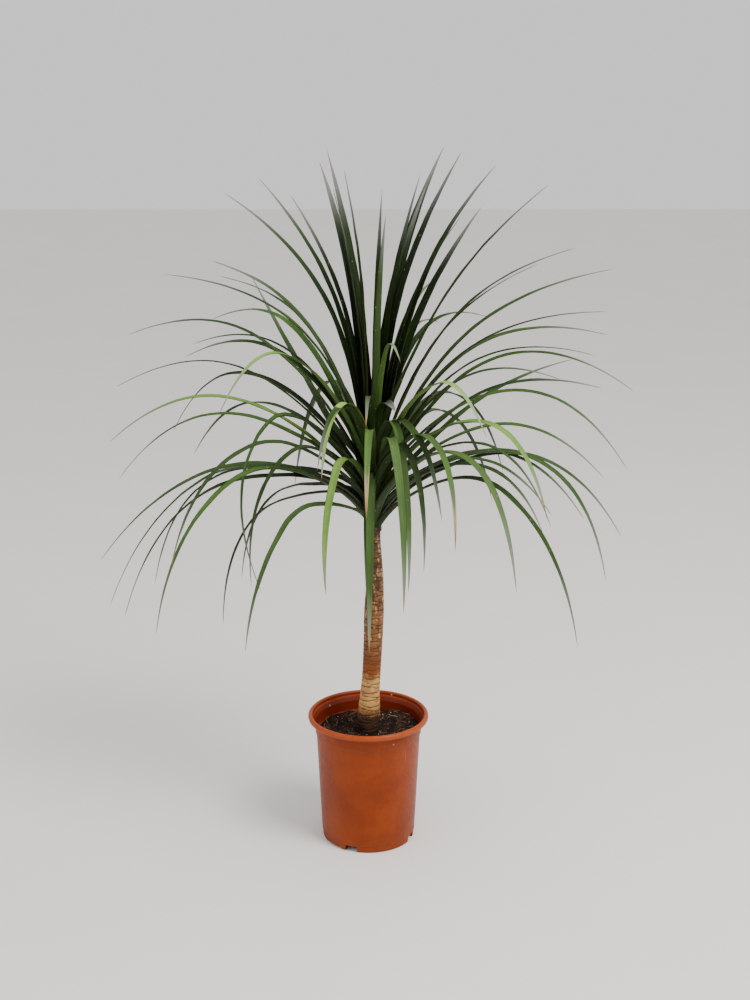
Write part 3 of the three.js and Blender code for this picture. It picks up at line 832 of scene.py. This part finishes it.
# %% Pot profile
MM = 0.001
BEAD_MIDDLE, BEAD_OUT, BEAD_UP = (91.2, 203.2), 3.8, 4.8
OUTSIDE = [(0, 0), (34, 0), (37, 3), (59, 3), (62, 0), (72.5, 0), (72.8, 10), (74, 11.2), (81.9, 176.5),
           (83.5, 178),
           (84.0, 187.4), (84.2, 188.0), (84.5, 197.6), (87, 198.4)]
INSIDE = [(87.4, 202), (82.7, 194), (81.7, 178.6), (80.1, 177), (72.2, 13), (68.2, 5.4), (0, 5.4)]


def eased(points, cut):
    """Each inner corner becomes three points on a short curve."""
    rows = [np.array(p, float) for p in points]
    result = [rows[0]]
    for before, corner, after in zip(rows, rows[1:], rows[2:]):
        near = min(cut, 0.4 * np.linalg.norm(corner - before), 0.4 * np.linalg.norm(after - corner))
        start = corner + (before - corner) / np.linalg.norm(before - corner) * near
        end = corner + (after - corner) / np.linalg.norm(after - corner) * near
        result += [start, (start + 2 * corner + end) / 4, end]
    return result + [rows[-1]]


bead = [
    (BEAD_MIDDLE[0] + BEAD_OUT * math.cos(math.radians(a)),
     BEAD_MIDDLE[1] + BEAD_UP * math.sin(math.radians(a)))
    for a in range(-90, 181, 15)
]
profile = np.array(eased(OUTSIDE + bead + INSIDE, 1.2)) * MM
print(len(profile), "points of profile, mouth radius", round(profile[:, 0].max(), 4), "height",
      profile[:, 1].max())


# %% [markdown]
# ## Turning the pot
# The profile is turned into a closed skin, with one ring of corners for each of its points. The drain slots
# and the chip in the foot are then cut out of it with blocks.

# %% Turning and cutting the pot
def turned_solid(name, rows, count):
    """A closed turned skin from (radius, height) rows that start and end on the axis."""
    mesh, work = bpy.data.meshes.new(name), bmesh.new()
    rings = []
    for radius, height in rows:
        if radius < 1e-6:
            rings.append([work.verts.new((0, 0, height))])
        else:
            turns = [math.tau * i / count for i in range(count)]
            rings.append([work.verts.new((radius * math.cos(t), radius * math.sin(t),
                                          height)) for t in turns])
    for low, high in zip(rings, rings[1:]):
        for i in range(count):
            corners = [low[i % len(low)], low[(i + 1) % len(low)], high[(i + 1) % len(high)],
                       high[i % len(high)]]
            work.faces.new(list(dict.fromkeys(corners)))
    bmesh.ops.recalc_face_normals(work, faces=work.faces)
    work.to_mesh(mesh)
    work.free()
    piece = bpy.data.objects.new(name, mesh)
    bpy.context.scene.collection.objects.link(piece)
    return piece


def add_block(work, middle, size, bearing):
    """A box for cutting, laid with its first side along a bearing."""
    made = bmesh.ops.create_cube(work, size=1.0)["verts"]
    cos, sin = math.cos(bearing), math.sin(bearing)
    for vert in made:
        x, y, z = (vert.co[i] * size[i] for i in range(3))
        vert.co = (middle[0] + x * cos - y * sin, middle[1] + x * sin + y * cos, middle[2] + z)


def cut_away(piece, cutter):
    """Takes the cutter out of the piece and leaves a plain mesh."""
    modifier = piece.modifiers.new("cut", "BOOLEAN")
    modifier.operation, modifier.solver, modifier.object = "DIFFERENCE", "EXACT", cutter
    graph = bpy.context.evaluated_depsgraph_get()
    mesh = bpy.data.meshes.new_from_object(piece.evaluated_get(graph), depsgraph=graph)
    piece.modifiers.remove(modifier)
    piece.data = mesh
    bpy.data.objects.remove(cutter)


pot = turned_solid("nursery_pot", profile, 160)
SLOT_BEARINGS = [math.radians(248 + 90 * i) for i in range(4)]
CHIP_BEARING = math.radians(221)
work, cutter_mesh = bmesh.new(), bpy.data.meshes.new("cutter")
for bearing in SLOT_BEARINGS:
    reach = 62 * MM
    add_block(work, (reach * math.cos(bearing), reach * math.sin(bearing), 3.5 * MM), (0.034, 0.02, 0.011),
              bearing)
reach = 73 * MM
add_block(work, (reach * math.cos(CHIP_BEARING), reach * math.sin(CHIP_BEARING), 0.0),
          (0.010, 0.036, 0.005), CHIP_BEARING)
work.to_mesh(cutter_mesh)
work.free()
cutter = bpy.data.objects.new("cutter", cutter_mesh)
bpy.context.scene.collection.objects.link(cutter)
cut_away(pot, cutter)
pot.data.shade_smooth()
pot.data.set_sharp_from_angle(angle=math.radians(40))
print("pot", len(pot.data.polygons), "faces, volume and open edges", solid_volume(pot))

# %% [markdown]
# ## The pot finish
# The plastic is a brick orange that has seen a season outdoors. It's a little paler and chalkier on the
# bead, partly from wear where hands and sun reach it and partly as a painted highlight on its top, darker
# inside with painted shade, and lightly dusted near the foot and under the step.
# Fine upright flow lines and a few scuffs come from the mould and from handling. A sprinkle of pale grains
# is stuck to the outside.

# %% Pot finish
pot_look, tree, shader = finish("brick_plastic", Specular_IOR_Level=0.2)
where = object_place(tree)
axes = put(tree, "ShaderNodeSeparateXYZ", {"Vector": where})
level = outlet(axes, "Z")
radius = maths(tree, "SQRT", plus(tree, maths(tree, "POWER", axes, 2.0),
                                  maths(tree, "POWER", outlet(axes, "Y"), 2.0)))
# Masks for painted shade: the inner wall, and the inside of the mouth under the bead.
wall = minus(tree, radius, plus(tree, times(tree, level, 0.0478), 0.0725))
inner = remap(tree, wall, -0.0007, -0.0003, 1.0, 0.0)
cloudy = effect(tree, BLOTCH, Vector=where, Scale=16.0, Seed=2.0)
fine = effect(tree, BLOTCH, Vector=where, Scale=160.0, Seed=5.0)
brick = tint(tree, cloudy, paint("#782a00"), paint("#8c3600"))
brick = tint(tree, times(tree, fine, 0.12), brick, paint("#5e1a00"))
bead_mask = remap(tree, level, 0.1985, 0.2025, 0.0, 1.0, True)
lip = plus(tree, remap(tree, level, 0.1785, 0.194, 0.0817, 0.0827),
           remap(tree, level, 0.194, 0.205, 0.0, 0.0048))
mouth = remap(tree, minus(tree, radius, lip), 0.0006, 0.0011, 1.0, 0.0)
mouth = times(tree, mouth, maths(tree, "GREATER_THAN", level, 0.1775))
inner = maths(tree, "MAXIMUM", inner, mouth)
# The bead is paler, partly from wear and partly as a painted highlight on the top of the rim.
worn_and_highlight = times(tree, bead_mask, remap(tree, fine, 0.0, 1.0, 0.4, 0.65))
brick = tint(tree, worn_and_highlight, brick, paint("#b65020"))
# Painted shade: the inside of the pot is darkened.
brick = tint(tree, times(tree, inner, 0.8), brick, paint("#6b1a05"))
low = remap(tree, level, 0.004, 0.03, 0.45, 0.0, True)
step = remap(tree, maths(tree, "ABSOLUTE", minus(tree, level, 0.1765)), 0.0, 0.004, 0.35, 0.0, True)
dust = times(tree, plus(tree, low, step), effect(tree, BLOTCH, Vector=where, Scale=60.0, Seed=9.0))
brick = tint(tree, dust, brick, paint("#7d4420"))
stretched = put(tree, "ShaderNodeMapping", {"Vector": where, "Scale": (1.0, 1.0, 0.06)})
scuff = effect(tree, SPECK, Vector=stretched, Scale=240.0, Share=0.03)
brick = tint(tree, times(tree, scuff, 0.25), brick, paint("#d08a66"))
grains = effect(tree, SPECK, Vector=where, Scale=130.0, Share=0.02)
brick = tint(tree, times(tree, grains, remap(tree, fine, 0.3, 0.7, 0.2, 0.9)), brick, paint("#e6d3bf"))
tree.links.new(brick, shader.inputs["Base Color"])
matt = plus(tree, remap(tree, fine, 0.0, 1.0, 0.36, 0.48), times(tree, dust, 0.5))
tree.links.new(matt, shader.inputs["Roughness"])
flow = put(tree, "ShaderNodeTexNoise", {"Vector": stretched, "Scale": 220.0, "Detail": 2.0})
skin = put(tree, "ShaderNodeTexNoise", {"Vector": where, "Scale": 900.0, "Detail": 2.0})
bump(tree, shader, plus(tree, flow, times(tree, skin, 0.5)), 0.00018, 0.5)
pot.data.materials.clear()
pot.data.materials.append(pot_look)
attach(pot, "root")
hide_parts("pot")
print("pot finish has", len(tree.nodes), "nodes")

# %% [markdown]
# ## The potting mix
# The mix is a closed body that fills the pot and shows only its top: heaped behind and to the right, sunk
# at the left. The broad shape repeats the frame's, and noise in three sizes breaks it into clods and
# crumbs.

# %% Mix body
MIX_TOP = 0.176


def mix_height(x, y):
    """The broad surface, with its heap and its hollow."""
    heap = 0.011 * math.exp(-((x - 0.04) ** 2 + (y - 0.03) ** 2) / 0.0018)
    hollow = 0.006 * math.exp(-((x + 0.062) ** 2 + (y + 0.005) ** 2) / 0.0013)
    return MIX_TOP + heap - hollow + 0.0012 * math.sin(x / 0.009) * math.cos(y / 0.011)


def crumble(x, y):
    """Clods, lumps and crumbs, in metres."""
    spot = Vector((x, y, 0.0))
    clods = noise.noise(spot * 60) * 0.0048
    lumps = (0.5 - abs(noise.noise(spot * 150))) * 0.0034
    return clods + lumps + noise.noise(spot * 420) * 0.0012


MIX_RINGS, MIX_TURNS = 64, 192
MIX_RADIUS = 0.0795
work, mix_mesh = bmesh.new(), bpy.data.meshes.new("peaty_mix")
rings = []
for row in range(MIX_RINGS + 1):
    reach = MIX_RADIUS * row / MIX_RINGS
    ring = []
    for i in range(MIX_TURNS if row else 1):
        x, y = reach * math.cos(math.tau * i / MIX_TURNS), reach * math.sin(math.tau * i / MIX_TURNS)
        ring.append(work.verts.new((x, y, mix_height(x, y) + crumble(x, y))))
    rings.append(ring)
for radius, height in ((0.0792, 0.165), (0.0715, 0.008), (0.0, 0.008)):
    turns = [math.tau * i / MIX_TURNS for i in range(MIX_TURNS if radius else 1)]
    rings.append([work.verts.new((radius * math.cos(t), radius * math.sin(t), height)) for t in turns])
for inner_ring, outer_ring in zip(rings, rings[1:]):
    for i in range(MIX_TURNS):
        a, b = inner_ring[i % len(inner_ring)], inner_ring[(i + 1) % len(inner_ring)]
        c, d = outer_ring[(i + 1) % len(outer_ring)], outer_ring[i % len(outer_ring)]
        work.faces.new(list(dict.fromkeys([a, b, c, d])))
bmesh.ops.recalc_face_normals(work, faces=work.faces)
work.to_mesh(mix_mesh)
work.free()
mix = bpy.data.objects.new("peaty_mix", mix_mesh)
bpy.context.scene.collection.objects.link(mix)
mix_mesh.shade_smooth()
print("mix", len(mix_mesh.polygons), "faces, volume and open edges", solid_volume(mix))

# %% [markdown]
# ## The mix finish
# Damp peat is nearly black and scatters little light. Dry crumbs on top are browner and rougher.

# %% Mix finish
mix_look, tree, shader = finish("peat", Specular_IOR_Level=0.25)
where = object_place(tree)
coarse = effect(tree, BLOTCH, Vector=where, Scale=70.0, Seed=1.0)
fine = effect(tree, BLOTCH, Vector=where, Scale=420.0, Seed=4.0)
peat = ramp(tree, times(tree, plus(tree, coarse, fine), 0.5),
            [(0.15, paint("#0d0704")), (0.5, paint("#1d0f08")), (0.75, paint("#3d2012")),
             (0.95, paint("#6a4024"))])
tree.links.new(peat, shader.inputs["Base Color"])
tree.links.new(remap(tree, fine, 0.0, 1.0, 0.7, 0.95), shader.inputs["Roughness"])
bump(tree, shader, plus(tree, fine, coarse), 0.0009, 0.9)
mix.data.materials.append(mix_look)
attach(mix, "root")
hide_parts("potting_mix")

grit_look, tree, shader = finish("pale_grit", Specular_IOR_Level=0.35)
where = object_place(tree)
grit = tint(tree, effect(tree, BLOTCH, Vector=where, Scale=300.0, Seed=2.0), paint("#8d7f70"),
            paint("#d8cfc0"))
tree.links.new(grit, shader.inputs["Base Color"])
tree.links.new(remap(tree, effect(tree, BLOTCH, Vector=where, Scale=900.0), 0, 1, 0.6, 0.9),
               shader.inputs["Roughness"])

fibre_look, tree, shader = finish("dry_fibre", Specular_IOR_Level=0.3)
where = object_place(tree)
straw = tint(tree, effect(tree, BLOTCH, Vector=where, Scale=80.0, Seed=6.0), paint("#6d4a2e"),
             paint("#b58f63"))
tree.links.new(straw, shader.inputs["Base Color"])
tree.links.new(remap(tree, effect(tree, BLOTCH, Vector=where, Scale=500.0), 0, 1, 0.6, 0.85),
               shader.inputs["Roughness"])

chip_look, tree, shader = finish("bark_chip", Specular_IOR_Level=0.3)
where = object_place(tree)
brown = tint(tree, effect(tree, BLOTCH, Vector=where, Scale=110.0, Seed=8.0), paint("#2a150b"),
             paint("#6a4021"))
tree.links.new(brown, shader.inputs["Base Color"])
tree.links.new(remap(tree, effect(tree, BLOTCH, Vector=where, Scale=500.0), 0, 1, 0.6, 0.85),
               shader.inputs["Roughness"])
print("peat, grit, fibre and chip finishes made")

# %% [markdown]
# ## Scattering the crumbs
# Crumbs, grit and fibres lie loose on the mix by the hundred, each a little different. Setting them by hand
# would be endless, so a tree scatters points over the top of the mix, sets one small rough lump on each and
# turns and sizes it at random from a fixed seed. Density, size and flatness are named inputs, so one tree
# makes both the dark crumbs and the pale grit. A second tree lays bent threads in the same way.


# %% Scatter trees
def scatter_points(tree, surface, density, seed):
    """Points on the upward faces of the mix, clear of the wall."""
    normal = put(tree, "ShaderNodeSeparateXYZ", {"Vector": put(tree, "GeometryNodeInputNormal")})
    flat = maths(tree, "GREATER_THAN", outlet(normal, "Z"), 0.2)
    inputs = {"Mesh": surface, "Selection": flat, "Density": density, "Seed": seed}
    return put(tree, "GeometryNodeDistributePointsOnFaces", inputs, distribute_method="RANDOM")


def any_turn(tree, seed):
    full = (math.tau, math.tau, math.tau)
    return put(tree, "FunctionNodeRandomValue", {"Max": full, "Seed": seed}, data_type="FLOAT_VECTOR")


CRUMB, crumb = shape_tree("scattered_crumbs", Density=42000.0, Smallest=0.0008, Largest=0.0046,
                          Flatness=0.7, Seed=5,
                          Finish=mix_look)
dots = scatter_points(CRUMB, crumb["Geometry"], crumb["Density"], crumb["Seed"])
lump = put(CRUMB, "GeometryNodeMeshCube", {"Vertices X": 3, "Vertices Y": 3, "Vertices Z": 3})
place = put(CRUMB, "GeometryNodeInputPosition")
rough = put(CRUMB, "ShaderNodeTexNoise", {"Vector": place, "Scale": 1.7, "Detail": 1.0})
ball = scaled(CRUMB, vectors(CRUMB, "NORMALIZE", place), remap(CRUMB, rough, 0.3, 0.7, 0.34, 0.62))
lump = put(CRUMB, "GeometryNodeSetPosition", {"Geometry": lump, "Position": ball})
spread = put(CRUMB, "FunctionNodeRandomValue", {"Seed": 1}, data_type="FLOAT")
size = remap(CRUMB, maths(CRUMB, "POWER", spread, 2.2), 0.0, 1.0, crumb["Smallest"], crumb["Largest"])
shape = put(CRUMB, "ShaderNodeCombineXYZ",
            {"X": size, "Y": size, "Z": times(CRUMB, size, crumb["Flatness"])})
lumps = {"Points": dots, "Instance": lump, "Rotation": any_turn(CRUMB, 2), "Scale": shape}
close_tree(CRUMB, put(CRUMB, "GeometryNodeInstanceOnPoints", lumps), crumb["Finish"])

THREAD, thread = shape_tree("scattered_threads", Density=3600.0, Shortest=0.006, Longest=0.022,
                            Thickness=0.00022,
                            Seed=9, Finish=fibre_look)
dots = scatter_points(THREAD, thread["Geometry"], thread["Density"], thread["Seed"])
bow = put(THREAD, "GeometryNodeCurveQuadraticBezier",
          {"Resolution": 5, "Start": (-0.5, 0.0, 0.0), "Middle": (0.0, 0.35, 0.22),
           "End": (0.5, -0.08, 0.02)})
ring = put(THREAD, "GeometryNodeCurvePrimitiveCircle", {"Resolution": 4, "Radius": 0.014}, mode="RADIUS")
rod = put(THREAD, "GeometryNodeCurveToMesh", {"Curve": bow, "Profile Curve": ring, "Fill Caps": True})
spread = put(THREAD, "FunctionNodeRandomValue", {"Seed": 3}, data_type="FLOAT")
size = remap(THREAD, spread, 0.0, 1.0, thread["Shortest"], thread["Longest"])
tilt = put(THREAD, "FunctionNodeRandomValue",
           {"Min": (-0.35, -0.35, 0.0), "Max": (0.35, 0.35, math.tau), "Seed": 4},
           data_type="FLOAT_VECTOR")
rods = {"Points": dots, "Instance": rod, "Rotation": tilt, "Scale": size}
close_tree(THREAD, put(THREAD, "GeometryNodeInstanceOnPoints", rods), thread["Finish"])


# %% [markdown]
# ## Litter on the mix
# Only the upward faces of the mix carry litter, away from the pot's wall and from the stem. Each kind of
# litter is one run of a shape tree with its own density, sizes and finish.

# %% Growing crumbs, grit and threads
def top_only(name):
    """The top of the mix alone, kept off the wall and off the stem, as ground for scattering."""
    work = bmesh.new()
    work.from_mesh(mix.data)
    x, y, radius = stem_at(0.18)
    low = [f for f in work.faces if f.normal.z < 0.05 or f.calc_center_median().xy.length > 0.0765
           or (f.calc_center_median().xy - Vector((x, y))).length < radius]
    bmesh.ops.delete(work, geom=low, context="FACES")
    ground = bpy.data.meshes.new(name)
    work.to_mesh(ground)
    work.free()
    return ground


litter = [
    grow("dark_crumbs", top_only("ground_1"), CRUMB, Finish=mix_look),
    grow("white_grit", top_only("ground_2"), CRUMB, Density=2600.0, Smallest=0.0007, Largest=0.0024,
         Flatness=0.8, Seed=17, Finish=grit_look),
    grow("bark_chips", top_only("ground_3"), CRUMB, Density=2600.0, Smallest=0.0018, Largest=0.0062,
         Flatness=0.3, Seed=23, Finish=chip_look),
    grow("pale_threads", top_only("ground_4"), THREAD, Finish=fibre_look),
]
for piece in litter:
    print(piece.name, "volume and open edges", solid_volume(piece))
    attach(piece, "root")

# %% [markdown]
# ## Camera, floor and light
# The plant stands on a plain pale floor. The camera looks slightly down from a little above the crown, with
# a moderately long lens so that the pot keeps its shape. A broad soft panel overhead and to the front right
# is the main light, a weak one at the left opens the shadows, and a pale sky fills the rest.

# %% Camera
lens = bpy.data.cameras.new("view")
lens.lens, lens.sensor_width = 59.4, 36.0
camera = bpy.data.objects.new("view", lens)
camera.location = (0.0, -2.407, 1.261)
camera.rotation_euler = (math.radians(73.7), 0.0, math.radians(-0.253))
bpy.context.scene.collection.objects.link(camera)
bpy.context.scene.camera = camera

# %% [markdown]
# ### The floor
# One wide flat sheet just under the pot's foot is the floor. It is not attached to the plant.

# %% Floor
floor_look, tree, shader = finish("pale_floor", Specular_IOR_Level=0.2)
soft = effect(tree, BLOTCH, Vector=object_place(tree), Scale=3.0)
tree.links.new(tint(tree, times(tree, soft, 0.3), paint("#f0eeea"), paint("#e8e5e0")),
               shader.inputs["Base Color"])
tree.links.new(remap(tree, soft, 0.0, 1.0, 0.75, 0.85), shader.inputs["Roughness"])
floor_mesh = bpy.data.meshes.new("floor")
FLOOR_REACH = 9.0
corners = [(x * FLOOR_REACH, y * FLOOR_REACH, -0.0004) for x, y in ((-1, -1), (1, -1), (1, 1), (-1, 1))]
floor_mesh.from_pydata(corners, [], [(0, 1, 2, 3)])
floor_mesh.materials.append(floor_look)
floor = bpy.data.objects.new("floor", floor_mesh)
bpy.context.scene.collection.objects.link(floor)


# %% [markdown]
# ### The lights
# Each panel is a round area light turned towards its aim. The main one is strong and a little warm, and the
# left one is weak and a little cool.

# %% Lights
def panel(name, place, aim, size, power, colour):
    light = bpy.data.lights.new(name, "AREA")
    light.shape, light.size, light.energy, light.color = "DISK", size, power, colour
    lamp = bpy.data.objects.new(name, light)
    lamp.location = place
    lamp.rotation_euler = (Vector(aim) - Vector(place)).to_track_quat("-Z", "Y").to_euler()
    bpy.context.scene.collection.objects.link(lamp)


panel("main_panel", (1.5, -1.3, 2.9), (0, 0, 0.55), 1.5, 105.0, (1.0, 0.97, 0.92))
panel("left_panel", (-2.2, -1.6, 1.6), (0, 0, 0.5), 1.8, 8.0, (0.93, 0.96, 1.0))
sky = bpy.data.worlds.new("pale_sky")
sky.use_nodes = True
background = next(n for n in sky.node_tree.nodes if n.type == "BACKGROUND")
background.inputs["Color"].default_value = (0.96, 0.96, 0.97, 1.0)
background.inputs["Strength"].default_value = 0.95
bpy.context.scene.world = sky
